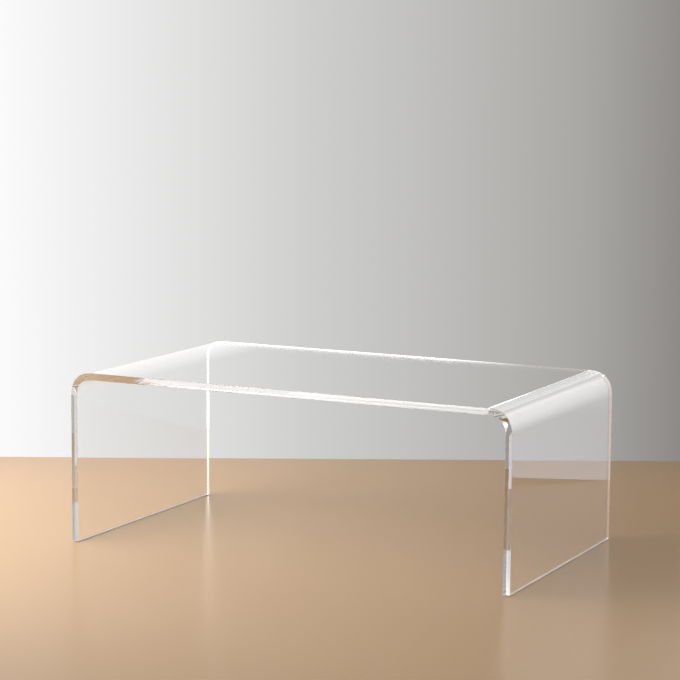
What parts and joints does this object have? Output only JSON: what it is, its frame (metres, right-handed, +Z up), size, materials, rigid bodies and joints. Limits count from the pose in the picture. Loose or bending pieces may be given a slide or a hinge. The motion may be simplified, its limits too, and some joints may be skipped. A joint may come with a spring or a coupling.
{
  "type": "waterfall coffee table",
  "caption": "Low clear coffee table: an acrylic sheet bent down at both ends into slab legs, with polished edges, standing on stuck-on bumper feet.",
  "frame": {"origin": "on the floor, under the middle of the table", "axes": "+Z up, +X along the length, -Y towards the front"},
  "size_m": [1, 0.554, 0.364],
  "materials": {
    "clear_acrylic": "water-clear cast acrylic, press-polished faces and polished edges",
    "clear_bumper": "clear soft polyurethane, satin",
    "clear_adhesive": "clear pressure-sensitive film"
  },
  "bodies": {
    "root": {"acrylic_sheet": "clear_acrylic", "front_left_bumper_foot": "clear_bumper", "front_right_bumper_foot": "clear_bumper", "rear_left_bumper_foot": "clear_bumper", "rear_right_bumper_foot": "clear_bumper", "front_left_adhesive_disc": "clear_adhesive", "front_right_adhesive_disc": "clear_adhesive", "rear_left_adhesive_disc": "clear_adhesive", "rear_right_adhesive_disc": "clear_adhesive"}
  },
  "joints": []
}
